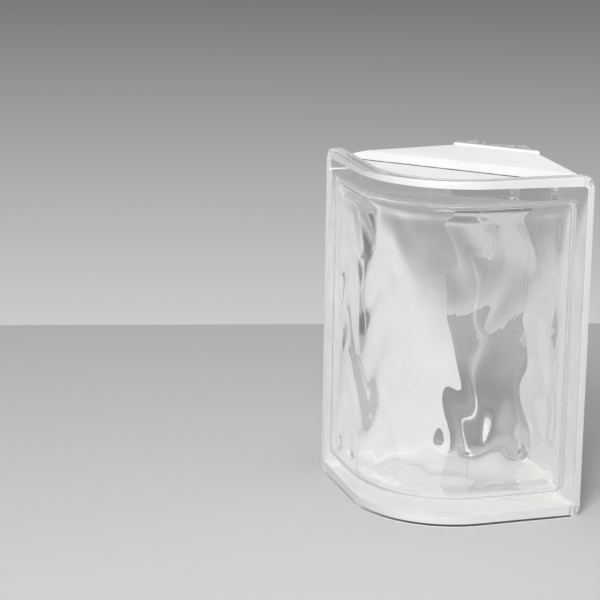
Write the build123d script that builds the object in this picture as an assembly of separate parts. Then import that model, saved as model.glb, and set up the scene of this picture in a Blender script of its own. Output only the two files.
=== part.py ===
from build123d import *
import math
import os

# Hollow corner glass block: two pressed shells fused at a flat seam, with a white coat on the four edges.
# X runs from tip to tip, -Y points at the rounded outer corner, +Y at the narrow inner face, +Z is up.
# The plan is a square turned by 45 degrees, its front corner rounded and its rear corner cut off.
# Between the bare lips of both faces the edges sink to the seam, which leaves a key for the mortar.

# Whole block
height = 197.0
leg = 117.0                  # outer corner, taken sharp, to a tip, along either outer face
thickness = 93.0             # a mortar end, from the outer face to the inner face
corner_radius = 56.4         # the rounded outer corner

# Walls of the two shells
outer_wall = 7.0             # outer face at its thinnest, in the hollow of a wave
inner_wall = 8.4             # inner face, likewise
side_wall = 7.0              # under the two mortar ends
end_wall = 7.2               # top and bottom, under the seam

# Bare glass lips round the two faces
outer_lip = 7.9
inner_lip = 9.4
tip_round = 2.2
face_corner_radius = 6.0     # the four corners of the outer face, seen from the front
inner_lip_round = 1.2

# Seam and mortar key
seam_setback = 2.6           # seam plane, behind the line from tip to tip
groove_depth = 2.7           # square to the mortar end
groove_run = 18.5            # along the mortar end, from the tip to where the end is flat
shoulder_round = 14.0
land_round = 2.0             # long edges where the top and bottom turn into the ends
lip_rise = 4.8               # outer lip over the glass behind it, drawn on to the corner
seam_drop = 6.4              # both shells at the seam, under the lips
crest_drop = 3.6             # where the inner shell's steep part ends
inner_rise = 2.4             # inner lip over the glass in front of it
key_run = 13.0               # depth of the steep part
key_round = 12.0

# Hollow down the inner face
hollow_width = 23.0
hollow_depth = 4.0
hollow_round = 1.6
foot_round = 3.0

# Cavity
cavity_tip_radius = 8.0
cavity_foot_radius = 6.5
cavity_bevel = 4.0           # where the cavity's walls meet its two ends

# Waves pressed into the inside of the faces
outer_wave_height = 1.8      # valley to crest
inner_wave_height = 1.4
wave_base = 0.4              # left under every valley, over the plain wall
wave_length = 64.0           # up the block
wave_width = 57.0            # across the face
wave_drift = 110.0           # of the slanting swell under the other waves
wave_swing = 96.0            # height over which the columns of waves swing once
wave_bend = 0.9              # how far they swing, in radians
outer_phase = 0.6            # where the pattern starts, in radians
inner_phase = 2.1
wave_step = 6.5              # spacing of the grid that carries a wavy surface
wave_fit = 0.05              # how closely the surface follows the grid
wave_degree = 6

# White coat
coat = 0.6
coat_margin = 0.8            # bare rim left at the top of a lip's coated back
seam_line_width = 0.8
seam_line_depth = 0.3

slope = math.sqrt(0.5)       # cosine and sine of the 45 degree faces
tip = leg * slope
foot = thickness * slope
foot_half = tip - foot
lip_back = foot - inner_lip
apex = tip - corner_radius * (math.sqrt(2) - 1)
middle = (foot - apex) / 2
far = leg + thickness        # longer than any span of the block
near = 0.05                  # reach of a search for edges, under any feature's size


def outline(points, radii):
    """A face in plan from its corners, each rounded by its own radius."""
    return make_face(FilletPolyline(*points, radius=radii, close=True))


def upright(area, low=0.0, high=height):
    """A plan area made solid between two levels."""
    return extrude(Pos(0, 0, low) * area, high - low)


def slab(front, back):
    """The whole width of the block between two depths, as a plan area."""
    return Pos(0, (front + back) / 2) * Rectangle(far, back - front)


def wedge(inset=0.0):
    """Plan area behind the two outer faces and their rounded corner, moved in by an inset."""
    half = tip - inset / slope
    return outline(
        [(0, -half), (half + far, far), (-half - far, far)],
        [corner_radius - inset, 0, 0],
    )


def outer_plan():
    """Plan of the outer shell: the wedge, cut off by the mortar ends and the seam."""
    ends = make_face(Polyline((0, tip), (tip + far, -far), (-tip - far, -far), close=True))
    return wedge() & ends & slab(-far, seam_setback)


def outer_land():
    """Plan of the coated part of the outer shell, behind its lip."""
    return outer_plan() & wedge(outer_lip)


def inner_plan(skin=0.0):
    """Plan of the inner shell's side walls and foot, swollen at the mortar ends by a skin."""
    out = skin / slope
    weld = tip - seam_setback - groove_depth / slope
    shoulder = (tip - groove_run * slope + out, groove_run * slope)
    side = [(weld + out, seam_setback), shoulder, (foot_half + out, foot)]
    mirrored = [(-x, y) for x, y in reversed(side)]
    rounds = [0, shoulder_round, foot_round]
    return outline(side + mirrored, rounds + rounds[::-1])


def between_lips(skin=0.0):
    """Everything under the sunken top and over the sunken bottom, from their side view."""
    top = [
        (-apex, lip_rise),
        (seam_setback, seam_drop),
        (seam_setback + key_run, crest_drop),
        (lip_back, inner_rise),
        (far, inner_rise),
    ]
    under = [(depth, drop - skin) for depth, drop in reversed(top)]
    over = [(depth, height - drop + skin) for depth, drop in top]
    rounds = [0, 0, key_round, 0, 0]
    return extrude(Plane.YZ * outline(over + under, rounds + rounds[::-1]), far, both=True)


def foot_hollow():
    """The shallow round hollow that runs down the whole inner face."""
    radius = (hollow_width ** 2 / 4 + hollow_depth ** 2) / (2 * hollow_depth)
    return upright(Pos(0, foot - hollow_depth + radius) * Circle(radius))


def edges_at(body, *levels):
    """Edges of a body that lie flat at one of the levels."""
    def flat(edge, level):
        return all(abs((edge @ share).Z - level) < near for share in (0, 0.5, 1))

    return [edge for edge in body.edges() if any(flat(edge, level) for level in levels)]


def rims(body, faces):
    """Edges where a group of faces ends."""
    return [edge for edge in body.edges() if sum(edge in face.edges() for face in faces) == 1]


def wave(across, up, phase):
    """Height of the waves at a place, from 0 in a valley to 1 on a crest."""
    turn = 2 * math.pi
    swing = wave_bend * math.sin(turn * up / wave_swing + phase)
    rows = math.sin(turn * up / wave_length + wave_bend * math.cos(turn * across / wave_width))
    columns = math.cos(turn * across / wave_width + swing + phase)
    swell = math.sin(turn * (across + up) / wave_drift + 2 * phase)
    return (2 + rows * columns + swell) / 4


def steps(span):
    """Evenly spaced places over a span centred on 0, about one grid step apart."""
    count = math.ceil(span / wave_step)
    return [span * (place / count - 0.5) for place in range(count + 1)]


def wavy_face(point, span):
    """A smooth surface through the points over a span, from the bottom to the top of the block."""
    rows = [[point(across, up + height / 2) for up in steps(height)] for across in steps(span)]
    return Face.make_surface_from_array_of_points(
        rows, tol=wave_fit, smoothing=(1, 1, 1), max_deg=wave_degree)


def outer_waves():
    """What the waves of the outer face fill at the front of the cavity."""
    radius = corner_radius - outer_wall
    bend = radius * math.pi / 4             # run over half of the rounded corner
    reach = bend + (tip - radius * slope) / slope

    def point(run, up):
        turned = min(abs(run), bend) / radius
        straight = max(abs(run) - bend, 0)
        level = radius - wave_base - outer_wave_height * wave(run, up, outer_phase)
        x = level * math.sin(turned) + straight * slope
        y = corner_radius / slope - tip - level * math.cos(turned) + straight * slope
        return (math.copysign(x, run), y, up)

    return extrude(wavy_face(point, 2 * reach), far, (0, -1, 0))


def inner_waves():
    """What the waves of the inner face fill at the back of the cavity."""
    back = foot - inner_wall - wave_base

    def point(across, up):
        return (across, back - inner_wave_height * wave(across, up, inner_phase), up)

    return extrude(wavy_face(point, 4 * foot_half), far, (0, 1, 0))


def cavity():
    """The sealed space inside both shells."""
    front = tip - outer_wall / slope
    side = tip - side_wall / slope
    mid = (front + side) / 2
    back = foot - inner_wall
    plan = outline(
        [(0, -front), (mid, mid - front), (side - back, back), (back - side, back), (-mid, mid - front)],
        [corner_radius - outer_wall, cavity_tip_radius, cavity_foot_radius,
         cavity_foot_radius, cavity_tip_radius],
    )
    low = seam_drop + end_wall
    space = upright(plan, low, height - low)
    space = chamfer(space.faces().filter_by(Axis.Z).edges(), cavity_bevel)
    return space - outer_waves() - inner_waves()


def outer_form():
    """Outside of the outer shell, before its lip stands out."""
    body = upright(outer_plan())
    corners = [e for e in edges_at(body, 0, height) if abs(e.center().X) > tip - seam_setback]
    body = fillet(corners, face_corner_radius)
    skin = [face for face in body.faces() if face.normal_at().Y < -slope / 2]
    return fillet(rims(body, skin), tip_round)


def outer_half(space):
    """Rounded outer face with its lip, and the front part of the top and bottom walls."""
    return outer_form() - (upright(outer_land()) - between_lips()) - space


def tapered(skin=0.0):
    """Outer form of the inner shell between its lips, with a skin's thickness on top."""
    body = upright(inner_plan(skin)) & between_lips(skin)
    tops = [face for face in body.faces() if abs(face.normal_at().Z) > slope]
    around = [edge for edge in rims(body, tops) if edge.center().Y > seam_setback + near]
    return fillet(around, land_round + skin)


def inner_half(space):
    """Slanting side walls that narrow to the inner face with its lips."""
    lip = upright(inner_plan() & slab(lip_back, far))
    body = tapered() + lip - foot_hollow()
    mouth = [
        edge for edge in body.edges().filter_by(Axis.Z)
        if abs(abs(edge.center().X) - hollow_width / 2) < near and edge.center().Y > foot - near
    ]
    body = fillet(mouth, hollow_round)
    return fillet(edges_at(body, 0, height), inner_lip_round) - space


def edge_coating():
    """One white band round the top, the bottom and the two mortar ends, turned up behind the lips."""
    def body(skin=0.0):
        front = upright(outer_land()) & between_lips(skin)
        return front + (tapered(skin) & upright(slab(seam_setback, lip_back)))

    backs = (outer_land() - wedge(outer_lip + coat)) + (inner_plan() & slab(lip_back - coat, lip_back))
    band = body(coat) + upright(backs, coat_margin, height - coat_margin) - body()
    behind = Pos(0, seam_setback + coat / 2) * Rectangle(2 * (tip - seam_setback), coat)
    band += upright(behind - inner_plan()) & (Pos(0, coat, 0) * outer_form())
    line = Box(far, seam_line_width, 2 * (seam_drop - coat + seam_line_depth))
    for level in (0, height):
        band -= Pos(0, seam_setback, level) * line
    return band


def build():
    space = cavity()
    return {
        "outer_half": outer_half(space),
        "inner_half": inner_half(space),
        "edge_coating": edge_coating(),
    }


os.makedirs("parts", exist_ok=True)
for name, piece in build().items():
    export_step(Pos(0, -middle, 0) * piece, f"parts/{name}.step")
    print(name, round(piece.volume), len(piece.solids()), piece.bounding_box().size)
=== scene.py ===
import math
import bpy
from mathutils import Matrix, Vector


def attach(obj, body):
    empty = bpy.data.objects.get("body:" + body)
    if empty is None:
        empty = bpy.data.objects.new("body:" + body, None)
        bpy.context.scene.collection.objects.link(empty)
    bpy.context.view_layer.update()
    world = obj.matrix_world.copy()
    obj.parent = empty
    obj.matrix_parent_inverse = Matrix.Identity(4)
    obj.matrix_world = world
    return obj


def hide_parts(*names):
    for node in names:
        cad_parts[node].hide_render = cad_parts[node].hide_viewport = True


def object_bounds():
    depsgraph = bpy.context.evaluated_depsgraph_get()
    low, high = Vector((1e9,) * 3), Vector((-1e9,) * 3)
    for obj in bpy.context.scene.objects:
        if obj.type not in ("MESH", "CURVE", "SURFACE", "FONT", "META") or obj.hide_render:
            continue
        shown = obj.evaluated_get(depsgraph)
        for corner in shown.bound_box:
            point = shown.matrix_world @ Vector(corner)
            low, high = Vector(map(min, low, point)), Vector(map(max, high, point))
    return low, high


bl_info = {
    "name": "Corner Glass Block",
    "version": (1, 0, 0),
    "blender": (4, 5, 0),
    "location": "View3D > Sidebar > Glass Block",
    "description": "Builds the wavy glass shells and the white edge coat of a corner glass block",
    "category": "Object",
}

import bmesh
import bpy
from mathutils import Matrix, Vector

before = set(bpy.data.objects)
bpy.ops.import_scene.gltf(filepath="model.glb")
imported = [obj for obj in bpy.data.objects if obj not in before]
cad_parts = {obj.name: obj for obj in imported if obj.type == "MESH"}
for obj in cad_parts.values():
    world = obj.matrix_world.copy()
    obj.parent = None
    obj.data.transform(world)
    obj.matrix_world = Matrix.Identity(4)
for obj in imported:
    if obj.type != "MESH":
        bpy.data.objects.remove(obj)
CAD_LOW, CAD_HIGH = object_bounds()

MM = 0.001
SLOPE = math.sqrt(0.5)       # cosine and sine of the 45 degree faces
TURN = 2 * math.pi
HEIGHT = CAD_HIGH.z - CAD_LOW.z

# Joints between the pieces
BOND = 0.12 * MM             # the glass reaches this far into the coat
WELD = 0.02 * MM             # the shells share this much glass at the seam

# Meshes
FACET = 1.7 * MM             # length of a flat on a rounded outline
GRID = 1.8 * MM              # spacing of the grid that carries the waves
HOLLOW_GRID = 0.8 * MM       # spacing of the flats across the hollow
NEAR = 0.01 * MM             # reach of a search for edges
CURVE_NEAR = 0.1 * MM        # reach of a search on a rounded wall, which is made of flats
STEEP = SLOPE - 1e-6         # lean of the cavity's front wall from which it is flat
MERGE = 0.002 * MM           # points closer than this become one
SLIVER = 0.001 * MM          # edges shorter than this go
SMOOTH = math.radians(24)    # a sharper edge keeps its crease
CREASE_WEIGHT = 60           # how much larger faces count in the normals

# Glass
REFRACTION = 1.5
TRAPPED = 2.5                # reflections inside a glass wall after which light leaves it
PALER = 0.012                # how much paler the tint gets in places
HAZE_ROUGHNESS = 0.02        # where the skin is haziest
SKIN_DEPTH = 0.12 * MM       # unevenness of the outside

# Coat
GAP_REACH = 0.05 * MM        # from the seam plane to the paint in the gaps beside the weld
SEAM_WANDER = 0.8 * MM, 1.5 * MM   # half the width of the dark seam line of dirt and painted groove shade, narrowest to widest
SEAM_SOFT = 0.6              # share of that width that is fully dark
COAT_ROUGHNESS = 0.48, 0.72
BRUSH_DEPTH = 0.25 * MM
GRAIN_DEPTH = 0.04 * MM
BRUSH_STRENGTH = 0.5

# Floor
FLOOR_ROUGHNESS = 0.75
FLOOR_SOFT = 0.985           # share of the floor's tone that its darker places keep

# Noise patterns: scale in waves a metre, detail, roughness and stretch along X, Y and Z
TINT = 9.0, 1.0
HAZE = 70.0, 4.0, 0.6, (1, 1, 0.5)
SKIN = 45.0, 1.0, 0.4, (1, 1, 0.6)
MOTTLE = 38.0, 4.0, 0.55
WANDER = 120.0, 2.0
ROUGH_GRAIN = 300.0, 3.0
BRUSH = 60.0, 3.0, 0.5, (1, 1, 0.35)
FINE_GRAIN = 900.0, 2.0
FLOOR_TONE = 3.0, 2.0

# Surroundings
SKY = 0.8, 0.8, 0.8          # backdrop seen far above the horizon
BACKDROP_STOPS = -15, -7, 2, 10, 30   # elevations in degrees where the backdrop changes its tone
OVERHEAD_FROM = 0.2          # upward share of a direction from which the light starts to grow
KEY_AIM = 0, 0, 0.08
TOP_AIM = 0, 0, 0
SENSOR = 36.0                # width in millimetres


def length(name, description, millimetres):
    return bpy.props.FloatProperty(
        name=name, description=description, default=millimetres * MM, unit="LENGTH", precision=5
    )


def number(name, description, default):
    return bpy.props.FloatProperty(name=name, description=description, default=default)


def angle(name, description, degrees):
    return bpy.props.FloatProperty(
        name=name, description=description, default=math.radians(degrees), unit="ROTATION"
    )


def colour(name, description, value):
    return bpy.props.FloatVectorProperty(
        name=name, description=description, default=value, size=3, subtype="COLOR"
    )


def watts(name, description, power):
    return bpy.props.FloatProperty(name=name, description=description, default=power, unit="POWER")


def position(name, description, metres):
    return bpy.props.FloatVectorProperty(
        name=name, description=description, default=metres, size=3,
        subtype="TRANSLATION", unit="LENGTH",
    )


class BlockSizes(bpy.types.PropertyGroup):
    """Sizes of the two glass shells and their coat."""

    height: length("Height", "Course height without its joint", HEIGHT / MM)
    leg: length("Leg", "Outer corner, taken sharp, to a tip", 117.0)
    thickness: length("Thickness", "Outer face to inner face along a mortar end", 93.0)
    corner_radius: length("Corner radius", "The rounded outer corner", 56.4)
    outer_wall: length("Outer wall", "Outer face at its thinnest", 7.0)
    inner_wall: length("Inner wall", "Inner face at its thinnest", 8.4)
    side_wall: length("Side wall", "Glass under a mortar end", 7.0)
    end_wall: length("End wall", "Top and bottom glass, under the seam", 7.2)
    outer_lip: length("Outer lip", "Bare glass round the outer face", 7.9)
    inner_lip: length("Inner lip", "Bare glass at the inner face", 9.4)
    tip_round: length("Lip rounding", "Edge of the outer lip", 2.2)
    face_corner: length("Face corner radius", "The four corners of the outer face", 6.0)
    inner_lip_round: length("Inner lip rounding", "Edge of the inner lip", 1.2)
    seam_setback: length("Seam setback", "Seam plane behind the line from tip to tip", 2.6)
    groove_depth: length("Groove depth", "Behind the outer lip, square to the end", 2.7)
    groove_run: length("Groove run", "Tip to where the end is flat", 18.5)
    shoulder_round: length("Shoulder rounding", "Between the groove and the flat end", 14.0)
    land_round: length("Land rounding", "Long edges of the coated lands", 2.0)
    lip_rise: length("Lip rise", "Outer lip over the glass behind it, drawn on to the corner", 4.8)
    seam_drop: length("Seam drop", "Glass at the seam, under the lips", 6.4)
    crest_drop: length("Crest drop", "Where the inner shell's steep part ends", 3.6)
    inner_rise: length("Inner rise", "Inner lip over the glass in front of it", 2.4)
    key_run: length("Key run", "Depth of the steep part", 13.0)
    key_round: length("Key rounding", "Where the steep part ends", 12.0)
    hollow_width: length("Hollow width", "Hollow down the inner face", 23.0)
    hollow_depth: length("Hollow depth", "Hollow down the inner face", 4.0)
    hollow_blend: length("Hollow blend", "Softness of the hollow's long edges", 0.5)
    foot_round: length("Foot rounding", "Long edges of the inner face", 3.0)
    cavity_tip: length("Cavity tip radius", "Inside corners behind the tips", 8.0)
    cavity_foot: length("Cavity foot radius", "Inside corners at the inner face", 6.5)
    cavity_end: length("Cavity end radius", "Inside edges at top and bottom", 5.0)
    coat: length("Coat", "Thickness of the white coat", 0.6)


class WaveSizes(bpy.types.PropertyGroup):
    """The waves pressed into the inside of the faces."""

    outer_height: length("Outer waves", "Valley to crest on the outer face", 2.6)
    inner_height: length("Inner waves", "Valley to crest on the inner face", 1.8)
    base: length("Wave base", "Glass under every valley, over the plain wall", 0.4)
    length_up: length("Wave length", "Crest to crest up the block", 52.0)
    length_across: length("Wave width", "Crest to crest across the face", 47.0)
    drift: length("Swell length", "The slanting swell under the waves", 95.0)
    swing: length("Swing length", "Height over which the waves swing once", 83.0)
    bend: angle("Bend", "How far the waves swing", 51.6)
    outer_phase: angle("Outer phase", "Where the outer pattern starts", 34.4)
    inner_phase: angle("Inner phase", "Where the inner pattern starts", 120.3)
    fade: length("Fade", "Width over which the waves die out at the walls", 6.0)


class Finishes(bpy.types.PropertyGroup):
    """Colours of the block and of the studio."""

    glass: colour("Glass", "Tint of the glass", (0.975, 0.982, 0.978))
    coat: colour("Edge coat", "White coat on the edges", (0.87, 0.87, 0.86))
    coat_shade: colour("Edge coat shade", "Thinner places in the coat", (0.80, 0.80, 0.785))
    # Grey coat at the ends, past the weld and in the gaps beside it, darker than the coat
    # elsewhere
    coat_grey_at_ends: colour("Thin edge coat", "Coat behind the lips at the ends", (0.66, 0.665, 0.66))
    # Seam line colour: dirt and painted shade of the groove over the seam
    seam: colour("Seam line", "Dirt in the line over the seam", (0.10, 0.10, 0.095))
    floor: colour("Floor", "Plain pale floor", (0.62, 0.62, 0.62))
    backdrop_low: colour("Backdrop low", "Backdrop where it meets the floor", (0.60, 0.60, 0.60))
    backdrop_mid: colour("Backdrop middle", "Backdrop at the picture's top", (0.19, 0.19, 0.19))
    backdrop_high: colour("Backdrop high", "Backdrop level with the horizon", (0.28, 0.28, 0.28))


class Studio(bpy.types.PropertyGroup):
    """Floor, lights and camera."""

    floor_side: length("Floor side", "Square floor under the block", 1100.0)
    floor_turn: angle("Floor turn", "Floor turned round the block", 31.5)
    floor_back: length("Floor back", "Floor behind the middle of the block", 378.0)
    ambient: number("Ambient", "Level of the soft light from the sides", 0.20)
    overhead: number("Overhead", "Level of the soft light from above", 0.36)
    rising: number("Rising", "Level of the soft light from past the floor's edge", 0.9)
    key: watts("Key light", "Soft light in front of the block", 23.0)
    key_place: position("Key place", "Middle of the soft light", (0.255, -1.199, 1.184))
    key_size: length("Key size", "Side of the soft light", 600.0)
    top: watts("Top light", "Soft light over the block", 0.56)
    top_place: position("Top place", "Middle of the light over the block", (0.0, -0.04, 0.65))
    top_size: length("Top size", "Side of the light over the block", 260.0)
    yaw: angle("Yaw", "Camera turned round the block", 27.37)
    pitch: angle("Pitch", "Camera tilt below level", 14.44)
    roll: angle("Roll", "Camera roll", 0.89)
    camera_place: position("Camera", "Camera position", (0.5056, -1.1693, 0.4417))
    lens: bpy.props.FloatProperty(
        name="Lens", description="Focal length of the camera", default=138.0, unit="CAMERA"
    )


class Plan:
    """Plan places worked out from the sizes, before the block is centred on its footprint."""

    def __init__(self, sizes):
        self.tip = sizes.leg * SLOPE
        self.foot = sizes.thickness * SLOPE
        self.foot_half = self.tip - self.foot
        self.lip_back = self.foot - sizes.inner_lip
        self.weld = self.tip - sizes.seam_setback - sizes.groove_depth / SLOPE
        self.shoulder = self.tip - sizes.groove_run * SLOPE, sizes.groove_run * SLOPE
        self.far = sizes.leg + sizes.thickness
        self.apex = self.tip - sizes.corner_radius * (math.sqrt(2) - 1)
        self.middle = (self.foot - self.apex) / 2
        # Inside
        self.front = self.tip - sizes.outer_wall / SLOPE
        self.side = self.tip - sizes.side_wall / SLOPE
        self.back = self.foot - sizes.inner_wall
        self.turn = (self.front + self.side) / 2
        self.low = sizes.seam_drop + sizes.end_wall
        self.high = sizes.height - self.low


def outline(points, radii, step=0.0):
    """A face in plan from its corners and their radii, its long edges cut if a step is given."""
    bm = bmesh.new()
    corners = [bm.verts.new((x, y, 0)) for x, y in points]
    bm.faces.new(corners)
    for corner, radius in zip(corners, radii):
        if radius:
            arms = [edge.other_vert(corner).co - corner.co for edge in corner.link_edges]
            opening = arms[0].angle(arms[1])
            bmesh.ops.bevel(
                bm, geom=[corner], offset=radius / math.tan(opening / 2), offset_type="OFFSET",
                segments=max(4, math.ceil(radius * (math.pi - opening) / FACET)), profile=0.5,
                affect="VERTICES", clamp_overlap=False, material=-1,
            )
    if step:
        for edge in [edge for edge in bm.edges if edge.calc_length() > 1.5 * step]:
            cuts = math.ceil(edge.calc_length() / step) - 1
            bmesh.ops.subdivide_edges(bm, edges=[edge], cuts=cuts)
    return bm


def lift(bm, low, high):
    """Makes a plan face a closed upright solid between two levels."""
    bmesh.ops.translate(bm, verts=bm.verts, vec=(0, 0, low))
    made = bmesh.ops.extrude_face_region(bm, geom=bm.faces[:])
    lifted = [item for item in made["geom"] if isinstance(item, bmesh.types.BMVert)]
    bmesh.ops.translate(bm, verts=lifted, vec=(0, 0, high - low))
    bmesh.ops.recalc_face_normals(bm, faces=bm.faces)
    return bm


def round_edges(bm, edges, radius, segments):
    """Rounds edges with an arc."""
    bmesh.ops.bevel(
        bm, geom=edges, offset=radius, offset_type="OFFSET", segments=segments, profile=0.5,
        affect="EDGES", clamp_overlap=False, material=-1,
    )


def edges_at(bm, *levels):
    """Edges that lie flat at one of the levels."""
    return [
        edge for edge in bm.edges
        if any(all(abs(vert.co.z - level) < NEAR for vert in edge.verts) for level in levels)
    ]


def solid(name, bm):
    """An object made from a bmesh, which is freed."""
    mesh = bpy.data.meshes.new(name)
    bm.to_mesh(mesh)
    bm.free()
    piece = bpy.data.objects.new(name, mesh)
    bpy.context.scene.collection.objects.link(piece)
    return piece


def discard(piece):
    """Removes an object and its mesh."""
    mesh = piece.data
    bpy.data.objects.remove(piece)
    bpy.data.meshes.remove(mesh)


def combine(piece, tool, operation):
    """Joins a tool to a piece or cuts it out, and uses it up."""
    change = piece.modifiers.new("change", "BOOLEAN")
    change.operation = operation
    change.solver = "EXACT"
    change.object = tool
    depsgraph = bpy.context.evaluated_depsgraph_get()
    made = bpy.data.meshes.new_from_object(piece.evaluated_get(depsgraph))
    piece.modifiers.remove(change)
    old, piece.data = piece.data, made
    bpy.data.meshes.remove(old)
    made.name = piece.name
    discard(tool)
    if not made.polygons:
        raise RuntimeError(f"nothing is left of {piece.name}")


def finish_piece(piece, sizes, material, slot, *nodes):
    """Centres a piece, shades it, gives it its finish and ties it to the frame."""
    mesh = piece.data
    bm = bmesh.new()
    bm.from_mesh(mesh)
    bmesh.ops.remove_doubles(bm, verts=bm.verts, dist=MERGE)
    bmesh.ops.dissolve_degenerate(bm, edges=bm.edges, dist=SLIVER)
    bmesh.ops.translate(bm, verts=bm.verts, vec=(0, -Plan(sizes).middle, 0))
    open_edges = [edge for edge in bm.edges if len(edge.link_faces) != 2]
    if open_edges:
        raise RuntimeError(f"{piece.name} has {len(open_edges)} open edges")
    bm.to_mesh(mesh)
    bm.free()
    mesh.shade_smooth()
    mesh.set_sharp_from_angle(angle=SMOOTH)
    mesh.materials.clear()
    mesh.materials.append(material)
    normals = piece.modifiers.new("normals", "WEIGHTED_NORMAL")
    normals.keep_sharp = True
    normals.weight = CREASE_WEIGHT
    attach(piece, "root")
    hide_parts(*nodes)


def wave(waves, across, up, phase):
    """Height of the waves at a place, from 0 in a valley to 1 on a crest."""
    swing = waves.bend * math.sin(TURN * up / waves.swing + phase)
    rows = math.sin(
        TURN * up / waves.length_up + waves.bend * math.cos(TURN * across / waves.length_across)
    )
    columns = math.cos(TURN * across / waves.length_across + swing + phase)
    swell = math.sin(TURN * (across + up) / waves.drift + 2 * phase)
    return (2 + rows * columns + swell) / 4


def ramp(distance, width):
    """0 at an edge, rising smoothly to 1 a width away from it."""
    share = min(max(distance / width, 0.0), 1.0)
    return share * share * (3 - 2 * share)


def press_waves(bm, sizes, waves):
    """Presses the waves of both faces into the ends of the cavity."""
    plan = Plan(sizes)
    radius = sizes.corner_radius - sizes.outer_wall
    # The flat of the outer face ends where the inside corner behind the tip begins
    front_end = plan.turn - sizes.cavity_tip * SLOPE
    back_end = plan.side - plan.back - sizes.cavity_foot * math.tan(math.pi / 8)
    low, high = plan.low + sizes.cavity_end, plan.high - sizes.cavity_end
    for vert in bm.verts:
        x, y, z = vert.co
        rise = ramp(min(z - low, high - z), waves.fade)
        lean_x = max(-SLOPE, min(SLOPE, x / radius))
        lean_y = math.sqrt(1 - lean_x * lean_x)
        if abs(lean_x) >= STEEP:
            depth = abs(x) - plan.front
        else:
            depth = radius / SLOPE - plan.front - radius * lean_y
        if abs(y - depth) < CURVE_NEAR and abs(x) < front_end:
            rise *= ramp((front_end - abs(x)) / SLOPE, waves.fade)
            crest = waves.base + waves.outer_height * wave(waves, x / SLOPE, z, waves.outer_phase)
            vert.co += rise * crest * Vector((-lean_x, lean_y, 0))
        elif abs(y - plan.back) < NEAR and abs(x) < back_end:
            rise *= ramp(back_end - abs(x), waves.fade)
            crest = waves.base + waves.inner_height * wave(waves, x, z, waves.inner_phase)
            vert.co.y -= rise * crest


def cavity(sizes, waves):
    """The sealed space inside both shells."""
    plan = Plan(sizes)
    points = [
        (0, -plan.front), (plan.turn, plan.turn - plan.front), (plan.side - plan.back, plan.back),
        (plan.back - plan.side, plan.back), (-plan.turn, plan.turn - plan.front),
    ]
    radii = [
        sizes.corner_radius - sizes.outer_wall, sizes.cavity_tip, sizes.cavity_foot,
        sizes.cavity_foot, sizes.cavity_tip,
    ]
    bm = lift(outline(points, radii, GRID), plan.low, plan.high)
    round_edges(bm, edges_at(bm, plan.low, plan.high), sizes.cavity_end, segments=7)
    low, high = plan.low + sizes.cavity_end, plan.high - sizes.cavity_end
    rows = math.ceil((high - low) / GRID)
    for row in range(1, rows):
        bmesh.ops.bisect_plane(
            bm, geom=bm.verts[:] + bm.edges[:] + bm.faces[:], dist=NEAR,
            plane_co=(0, 0, low + (high - low) * row / rows), plane_no=(0, 0, 1),
        )
    press_waves(bm, sizes, waves)
    return solid("cavity", bm)


def outer_body(sizes):
    """Rounded outer face with its lip, and the front part of the top and bottom walls."""
    plan = Plan(sizes)
    seam = sizes.seam_setback + WELD / 2
    points = [
        (0, -plan.tip), (plan.tip, 0), (plan.tip - seam, seam), (seam - plan.tip, seam),
        (-plan.tip, 0),
    ]
    bm = lift(outline(points, [sizes.corner_radius, 0, 0, 0, 0]), 0, sizes.height)
    corners = [
        edge for edge in edges_at(bm, 0, sizes.height)
        if abs(sum(vert.co.x for vert in edge.verts)) / 2 > plan.tip - seam
    ]
    round_edges(bm, corners, sizes.face_corner, segments=8)
    bm.normal_update()
    skin = {face for face in bm.faces if face.normal.y < -SLOPE / 2}
    around = [edge for edge in bm.edges if sum(face in skin for face in edge.link_faces) == 1]
    round_edges(bm, around, sizes.tip_round, segments=6)
    return solid("outer_shell", bm)


def between_lips(sizes):
    """Everything under the sunken top and over the sunken bottom, from their side view."""
    plan = Plan(sizes)
    side = [
        (-plan.apex, sizes.lip_rise), (sizes.seam_setback, sizes.seam_drop),
        (sizes.seam_setback + sizes.key_run, sizes.crest_drop), (plan.lip_back, sizes.inner_rise),
        (plan.far, sizes.inner_rise),
    ]
    under = [(depth, drop - BOND) for depth, drop in reversed(side)]
    over = [(depth, sizes.height - drop + BOND) for depth, drop in side]
    rounds = [0, 0, sizes.key_round, 0, 0]
    bm = lift(outline(over + under, rounds + rounds[::-1]), -plan.far, plan.far)
    upright = Matrix(((0, 0, 1, 0), (1, 0, 0, 0), (0, 1, 0, 0), (0, 0, 0, 1)))
    bmesh.ops.transform(bm, matrix=upright, verts=bm.verts)
    return solid("between", bm)


def recess(sizes):
    """What the recess for the coat takes from the top and the bottom of the outer shell."""
    plan = Plan(sizes)
    inset = sizes.outer_lip + BOND
    half = plan.tip - inset / SLOPE
    land = outline(
        [(0, -half), (half + plan.far, plan.far), (-half - plan.far, plan.far)],
        [sizes.corner_radius - inset, 0, 0],
    )
    tool = solid("recess", lift(land, -sizes.leg, 2 * sizes.leg))
    combine(tool, between_lips(sizes), "DIFFERENCE")
    return tool


def mirrored(side):
    """The corners of one side, from front to back, followed by those of the other side."""
    return side + [(-x, y) for x, y in reversed(side)]


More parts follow.
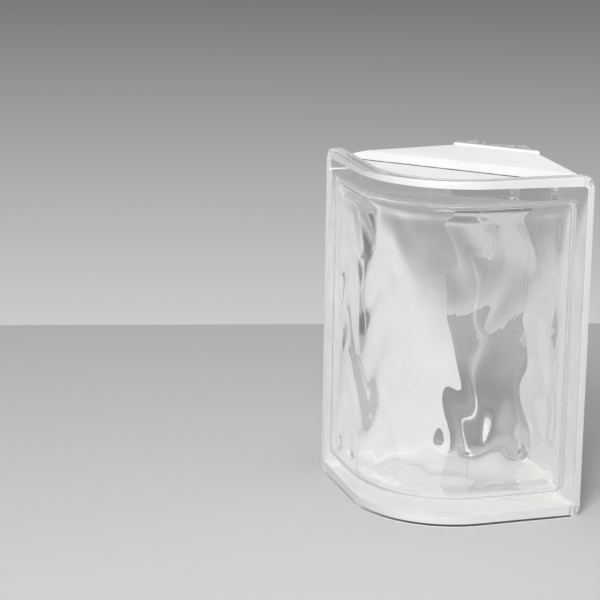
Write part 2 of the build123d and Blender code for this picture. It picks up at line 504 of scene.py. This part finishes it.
def side_walls(sizes):
    """The slanting side walls, top and bottom of the inner shell, up to its inner lip."""
    plan = Plan(sizes)
    out = BOND / SLOPE
    seam = sizes.seam_setback - WELD / 2
    end = plan.lip_back + BOND
    x, y = plan.shoulder
    side = [(plan.weld + out, seam), (x + out, y), (plan.foot_half + plan.foot - end + out, end)]
    rounds = [0, sizes.shoulder_round, 0]
    plan_face = outline(mirrored(side), rounds + rounds[::-1])
    piece = solid("inner_shell", lift(plan_face, 0, sizes.height))
    combine(piece, between_lips(sizes), "INTERSECT")
    bm = bmesh.new()
    bm.from_mesh(piece.data)
    bm.normal_update()
    tops = {face for face in bm.faces if abs(face.normal.z) > SLOPE}
    rims = [
        edge for edge in bm.edges if sum(face in tops for face in edge.link_faces) == 1
        and not any(all(abs(vert.co.y - y) < NEAR for vert in edge.verts) for y in (seam, end))
    ]
    round_edges(bm, rims, sizes.land_round + BOND, segments=5)
    bm.to_mesh(piece.data)
    bm.free()
    return piece


def inner_lip(sizes):
    """The inner face with its hollow, as tall as the block."""
    plan = Plan(sizes)
    front = plan.lip_back - BOND
    side = [(plan.foot_half + plan.foot - front, front), (plan.foot_half, plan.foot)]
    bm = outline(mirrored(side), [0, sizes.foot_round, sizes.foot_round, 0])
    foot = [
        edge for edge in bm.edges
        if all(abs(vert.co.y - plan.foot) < NEAR for vert in edge.verts)
    ]
    cuts = math.ceil(2 * plan.foot_half / HOLLOW_GRID)
    bmesh.ops.subdivide_edges(bm, edges=foot, cuts=cuts)
    width, depth = sizes.hollow_width / 2, sizes.hollow_depth
    radius = (width ** 2 + depth ** 2) / (2 * depth)
    for vert in bm.verts:
        if abs(vert.co.y - plan.foot) < NEAR:
            fall = depth - radius + math.sqrt(radius ** 2 - vert.co.x ** 2)
            vert.co.y -= (fall + math.hypot(fall, sizes.hollow_blend)) / 2
    lift(bm, 0, sizes.height)
    round_edges(bm, edges_at(bm, 0, sizes.height), sizes.inner_lip_round, segments=4)
    return solid("inner_lip", bm)


def nodes_of(name):
    """A new material with its shader, ready for a pattern."""
    material = bpy.data.materials.new(name)
    material.use_nodes = True
    tree = material.node_tree
    tree.nodes.clear()
    out = tree.nodes.new("ShaderNodeOutputMaterial")
    shader = tree.nodes.new("ShaderNodeBsdfPrincipled")
    tree.links.new(shader.outputs["BSDF"], out.inputs["Surface"])
    return material, tree, shader


def noise(tree, scale, detail, roughness=0.5, stretch=(1, 1, 1)):
    """A noise pattern on the piece's own coordinates."""
    place = tree.nodes.new("ShaderNodeTexCoord")
    mapping = tree.nodes.new("ShaderNodeMapping")
    mapping.inputs["Scale"].default_value = stretch
    pattern = tree.nodes.new("ShaderNodeTexNoise")
    pattern.inputs["Scale"].default_value = scale
    pattern.inputs["Detail"].default_value = detail
    pattern.inputs["Roughness"].default_value = roughness
    tree.links.new(place.outputs["Object"], mapping.inputs["Vector"])
    tree.links.new(mapping.outputs["Vector"], pattern.inputs["Vector"])
    return pattern.outputs["Fac"]


def spread(tree, value, low, high, start=0.3, end=0.7):
    """Maps a pattern's middle range to a low and a high value."""
    node = tree.nodes.new("ShaderNodeMapRange")
    node.inputs["From Min"].default_value = start
    node.inputs["From Max"].default_value = end
    node.inputs["To Min"].default_value = low
    node.inputs["To Max"].default_value = high
    tree.links.new(value, node.inputs["Value"])
    return node.outputs["Result"]


def maths(tree, operation, first, second=None):
    """A sum of two values, each a socket or a number."""
    node = tree.nodes.new("ShaderNodeMath")
    node.operation = operation
    for socket, value in zip(node.inputs, (first, second)):
        if isinstance(value, (int, float)):
            socket.default_value = value
        elif value is not None:
            tree.links.new(value, socket)
    return node.outputs[0]


def blend(tree, share, first, second):
    """A colour between two colours."""
    node = tree.nodes.new("ShaderNodeMix")
    node.data_type = "RGBA"
    tree.links.new(share, node.inputs["Factor"])
    for socket, value in ((node.inputs["A"], first), (node.inputs["B"], second)):
        if isinstance(value, bpy.types.NodeSocket):
            tree.links.new(value, socket)
        else:
            socket.default_value = (*value, 1)
    return node.outputs["Result"]


def bump(tree, height, distance, strength=1.0, after=None):
    """A normal that follows a pattern, on top of another normal if one is given."""
    node = tree.nodes.new("ShaderNodeBump")
    node.inputs["Strength"].default_value = strength
    node.inputs["Distance"].default_value = distance
    tree.links.new(height, node.inputs["Height"])
    if after is not None:
        tree.links.new(after, node.inputs["Normal"])
    return node.outputs["Normal"]


def apart(tree, coordinates):
    """The X, Y and Z of a kind of coordinates."""
    place = tree.nodes.new("ShaderNodeTexCoord")
    node = tree.nodes.new("ShaderNodeSeparateXYZ")
    tree.links.new(place.outputs[coordinates], node.inputs["Vector"])
    return node.outputs


def block_places(tree, sizes):
    """Distances from the middle along the seam, from the seam plane and from half height."""
    x, y, z = apart(tree, "Object")
    seam = sizes.seam_setback - Plan(sizes).middle
    run = maths(tree, "ABSOLUTE", x)
    aside = maths(tree, "ABSOLUTE", maths(tree, "SUBTRACT", y, seam))
    level = maths(tree, "ABSOLUTE", maths(tree, "SUBTRACT", z, sizes.height / 2))
    return run, aside, level


def cover(tree, share, shader):
    """Lays a shader over what a material shows, by a share."""
    out = next(node for node in tree.nodes if node.type == "OUTPUT_MATERIAL")
    mix = tree.nodes.new("ShaderNodeMixShader")
    tree.links.new(share, mix.inputs["Fac"])
    tree.links.new(out.inputs["Surface"].links[0].from_socket, mix.inputs[1])
    tree.links.new(shader, mix.inputs[2])
    tree.links.new(mix.outputs["Shader"], out.inputs["Surface"])


def pressed_glass(finishes, sizes):
    """Clear pressed glass, with the faint unevenness of a fire polished skin."""
    material, tree, shader = nodes_of("pressed glass")
    shader.inputs["Transmission Weight"].default_value = 1.0
    shader.inputs["IOR"].default_value = REFRACTION
    tint = spread(tree, noise(tree, *TINT), 0.0, 1.0)
    pale = [min(1.0, value + PALER) for value in finishes.glass]
    tree.links.new(blend(tree, tint, finishes.glass, pale), shader.inputs["Base Color"])
    haze = spread(tree, noise(tree, *HAZE), 0.0, HAZE_ROUGHNESS, start=0.45, end=0.75)
    tree.links.new(haze, shader.inputs["Roughness"])
    skin = bump(tree, noise(tree, *SKIN), SKIN_DEPTH)
    tree.links.new(skin, shader.inputs["Normal"])
    light_through(tree, finishes)
    coat_beside_weld(tree, finishes, sizes)
    return material


def light_through(tree, finishes):
    """Lets light pass the glass unbent where it lights a surface or was reflected a few times."""
    path = tree.nodes.new("ShaderNodeLightPath")
    clear = tree.nodes.new("ShaderNodeBsdfTransparent")
    clear.inputs["Color"].default_value = (*(value ** 0.5 for value in finishes.glass), 1)
    trapped = maths(tree, "GREATER_THAN", path.outputs["Glossy Depth"], TRAPPED)
    for ray in (path.outputs["Is Diffuse Ray"], path.outputs["Is Shadow Ray"], trapped):
        cover(tree, ray, clear.outputs["BSDF"])


def coat_beside_weld(tree, finishes, sizes):
    """Coat on the back of the outer lip, in the four small gaps beside the weld."""
    run, aside, level = block_places(tree, sizes)
    at_seam = maths(tree, "LESS_THAN", aside, GAP_REACH)
    outside = maths(tree, "GREATER_THAN", level, sizes.height / 2 - sizes.seam_drop)
    under_rim = maths(tree, "LESS_THAN", level, sizes.height / 2 - sizes.coat)
    beside = maths(tree, "LESS_THAN", run, Plan(sizes).weld + sizes.coat)
    share = maths(tree, "MULTIPLY", at_seam, outside)
    share = maths(tree, "MULTIPLY", share, maths(tree, "MULTIPLY", under_rim, beside))
    paint = tree.nodes.new("ShaderNodeBsdfDiffuse")
    paint.inputs["Color"].default_value = (*finishes.coat_grey_at_ends, 1)
    cover(tree, share, paint.outputs["BSDF"])


def edge_coat(finishes, sizes):
    """White coat, brushed on thick, with a dark line over the seam that is dirt and painted shade
    of the groove.
    """
    material, tree, shader = nodes_of("white edge coat")
    mottle = spread(tree, noise(tree, *MOTTLE), 0.0, 1.0)
    white = blend(tree, mottle, finishes.coat_shade, finishes.coat)
    run, aside, level = block_places(tree, sizes)
    weld = Plan(sizes).weld
    # Dark line over the seam: dirt and painted shade of the groove, on the top and bottom lands
    # only
    wander = spread(tree, noise(tree, *WANDER), *SEAM_WANDER)
    line = spread(tree, maths(tree, "DIVIDE", aside, wander), 1.0, 0.0, start=SEAM_SOFT, end=1.0)
    outside = maths(tree, "GREATER_THAN", level, sizes.height / 2 - sizes.seam_drop + BOND)
    between = maths(tree, "LESS_THAN", run, weld - sizes.outer_lip / 2)
    dirt_and_shade = maths(tree, "MULTIPLY", line, maths(tree, "MULTIPLY", outside, between))
    # Past the weld, towards the tips, the coat turns grey
    behind = spread(tree, run, 0.0, 1.0, start=weld, end=weld + sizes.coat)
    white = blend(tree, behind, white, finishes.coat_grey_at_ends)
    tree.links.new(blend(tree, dirt_and_shade, white, finishes.seam), shader.inputs["Base Color"])
    grain = spread(tree, noise(tree, *ROUGH_GRAIN), *COAT_ROUGHNESS)
    tree.links.new(grain, shader.inputs["Roughness"])
    brushed = bump(tree, noise(tree, *BRUSH), BRUSH_DEPTH, BRUSH_STRENGTH)
    fine = bump(tree, noise(tree, *FINE_GRAIN), GRAIN_DEPTH, BRUSH_STRENGTH, brushed)
    tree.links.new(fine, shader.inputs["Normal"])
    return material


def floor_paint(finishes):
    """Plain pale floor, with hardly a mottle."""
    material, tree, shader = nodes_of("floor")
    tone = spread(tree, noise(tree, *FLOOR_TONE), 0.0, 1.0)
    soft = [value * FLOOR_SOFT for value in finishes.floor]
    tree.links.new(blend(tree, tone, soft, finishes.floor), shader.inputs["Base Color"])
    shader.inputs["Roughness"].default_value = FLOOR_ROUGHNESS
    return material


def backdrop(finishes, studio):
    """Soft light from all round, seen as a grey backdrop that is palest at the floor."""
    world = bpy.data.worlds.new("studio")
    world.use_nodes = True
    tree = world.node_tree
    tree.nodes.clear()
    out = tree.nodes.new("ShaderNodeOutputWorld")
    upward = apart(tree, "Generated")["Z"]
    ramp_node = tree.nodes.new("ShaderNodeValToRGB")
    tones = [
        finishes.backdrop_low, finishes.backdrop_mid, finishes.backdrop_high,
        finishes.backdrop_high, SKY,
    ]
    elements = ramp_node.color_ramp.elements
    while len(elements) < len(tones):
        elements.new(0.5)
    for element, elevation, tone in zip(elements, BACKDROP_STOPS, tones):
        element.position = (math.sin(math.radians(elevation)) + 1) / 2
        element.color = (*tone, 1)
    # The ramp runs from straight down at 0 to straight up at 1
    height = maths(tree, "MULTIPLY_ADD", upward, 0.5)
    height.node.inputs[2].default_value = 0.5
    tree.links.new(height, ramp_node.inputs["Fac"])
    seen = tree.nodes.new("ShaderNodeBackground")
    tree.links.new(ramp_node.outputs["Color"], seen.inputs["Color"])
    light = tree.nodes.new("ShaderNodeBackground")
    above = spread(tree, upward, studio.ambient, studio.overhead, start=OVERHEAD_FROM, end=1.0)
    under = maths(tree, "LESS_THAN", upward, 0.0)
    rising = maths(tree, "MULTIPLY", under, studio.rising - studio.ambient)
    tree.links.new(maths(tree, "ADD", above, rising), light.inputs["Strength"])
    path = tree.nodes.new("ShaderNodeLightPath")
    direct = maths(tree, "MAXIMUM", path.outputs["Is Camera Ray"], path.outputs["Is Glossy Ray"])
    direct = maths(tree, "MAXIMUM", direct, path.outputs["Is Transmission Ray"])
    mix = tree.nodes.new("ShaderNodeMixShader")
    tree.links.new(direct, mix.inputs["Fac"])
    tree.links.new(light.outputs["Background"], mix.inputs[1])
    tree.links.new(seen.outputs["Background"], mix.inputs[2])
    tree.links.new(mix.outputs["Shader"], out.inputs["Surface"])
    bpy.context.scene.world = world


def area_light(name, place, aim, size, power):
    """A large square light that looks at a point."""
    light = bpy.data.lights.new(name, "AREA")
    light.shape = "SQUARE"
    light.size = size
    light.energy = power
    lamp = bpy.data.objects.new(name, light)
    lamp.location = place
    lamp.rotation_euler = (Vector(aim) - Vector(place)).to_track_quat("-Z", "Y").to_euler()
    bpy.context.scene.collection.objects.link(lamp)


def glass_of(scene):
    """The glass, made once for both shells."""
    made = bpy.data.materials.get("pressed glass")
    return made or pressed_glass(scene.block_finishes, scene.block_sizes)


class BuildOuterShell(bpy.types.Operator):
    """Rounded outer shell of pressed glass, wavy inside, with its bare lip."""

    bl_idname = "glass_block.outer_shell"
    bl_label = "Outer shell"

    def execute(self, context):
        sizes, waves = context.scene.block_sizes, context.scene.block_waves
        piece = outer_body(sizes)
        combine(piece, recess(sizes), "DIFFERENCE")
        combine(piece, cavity(sizes, waves), "DIFFERENCE")
        finish_piece(piece, sizes, glass_of(context.scene), "glass", "outer_half")
        return {"FINISHED"}


class BuildInnerShell(bpy.types.Operator):
    """Inner shell of pressed glass that narrows to the hollowed inner face."""

    bl_idname = "glass_block.inner_shell"
    bl_label = "Inner shell"

    def execute(self, context):
        sizes, waves = context.scene.block_sizes, context.scene.block_waves
        piece = side_walls(sizes)
        combine(piece, inner_lip(sizes), "UNION")
        combine(piece, cavity(sizes, waves), "DIFFERENCE")
        finish_piece(piece, sizes, glass_of(context.scene), "glass", "inner_half")
        return {"FINISHED"}


class FinishEdgeCoat(bpy.types.Operator):
    """White coat on the four edges of the block."""

    bl_idname = "glass_block.edge_coat"
    bl_label = "Edge coat"

    def execute(self, context):
        coat = edge_coat(context.scene.block_finishes, context.scene.block_sizes)
        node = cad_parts["edge_coating"]
        for slot in node.material_slots:
            slot.material = coat
        return {"FINISHED"}


class BuildStudio(bpy.types.Operator):
    """Plain pale floor, grey backdrop, soft lights and the camera."""

    bl_idname = "glass_block.studio"
    bl_label = "Studio"

    def execute(self, context):
        finishes, studio = context.scene.block_finishes, context.scene.block_studio
        bm = bmesh.new()
        bmesh.ops.create_grid(bm, x_segments=4, y_segments=4, size=studio.floor_side / 2)
        centre = studio.floor_back - studio.floor_side / 2
        bmesh.ops.translate(bm, verts=bm.verts, vec=(0, centre, 0))
        bmesh.ops.rotate(bm, verts=bm.verts, matrix=Matrix.Rotation(studio.floor_turn, 3, "Z"))
        floor = solid("floor", bm)
        floor.data.materials.append(floor_paint(finishes))
        backdrop(finishes, studio)
        area_light("key", studio.key_place, KEY_AIM, studio.key_size, studio.key)
        area_light("top", studio.top_place, TOP_AIM, studio.top_size, studio.top)
        data = bpy.data.cameras.new("camera")
        data.sensor_width = SENSOR
        data.lens = studio.lens
        camera = bpy.data.objects.new("camera", data)
        turn = (
            Matrix.Rotation(studio.yaw, 4, "Z")
            @ Matrix.Rotation(math.pi / 2 - studio.pitch, 4, "X")
            @ Matrix.Rotation(studio.roll, 4, "Z")
        )
        camera.location = studio.camera_place
        camera.rotation_euler = turn.to_euler()
        context.scene.collection.objects.link(camera)
        context.scene.camera = camera
        context.scene.view_settings.view_transform = "Standard"
        return {"FINISHED"}


class GlassBlockPanel(bpy.types.Panel):
    """Lists the pieces of the block and their sizes."""

    bl_idname = "VIEW3D_PT_glass_block"
    bl_label = "Glass Block"
    bl_space_type = "VIEW_3D"
    bl_region_type = "UI"
    bl_category = "Glass Block"

    def draw(self, context):
        for operator in OPERATORS:
            self.layout.operator(operator.bl_idname)
        for name, group in GROUPS.items():
            box = self.layout.box()
            for key in group.__annotations__:
                box.prop(getattr(context.scene, name), key)


GROUPS = {
    "block_sizes": BlockSizes,
    "block_waves": WaveSizes,
    "block_finishes": Finishes,
    "block_studio": Studio,
}
OPERATORS = (BuildStudio, BuildOuterShell, BuildInnerShell, FinishEdgeCoat)
CLASSES = (*GROUPS.values(), *OPERATORS, GlassBlockPanel)


def register():
    for item in CLASSES:
        bpy.utils.register_class(item)
    for name, group in GROUPS.items():
        setattr(bpy.types.Scene, name, bpy.props.PointerProperty(type=group))


def unregister():
    for name in GROUPS:
        delattr(bpy.types.Scene, name)
    for item in reversed(CLASSES):
        bpy.utils.unregister_class(item)


def main():
    register()
    bpy.ops.glass_block.studio()
    bpy.ops.glass_block.outer_shell()
    bpy.ops.glass_block.inner_shell()
    bpy.ops.glass_block.edge_coat()


if __name__ == "__main__":
    main()
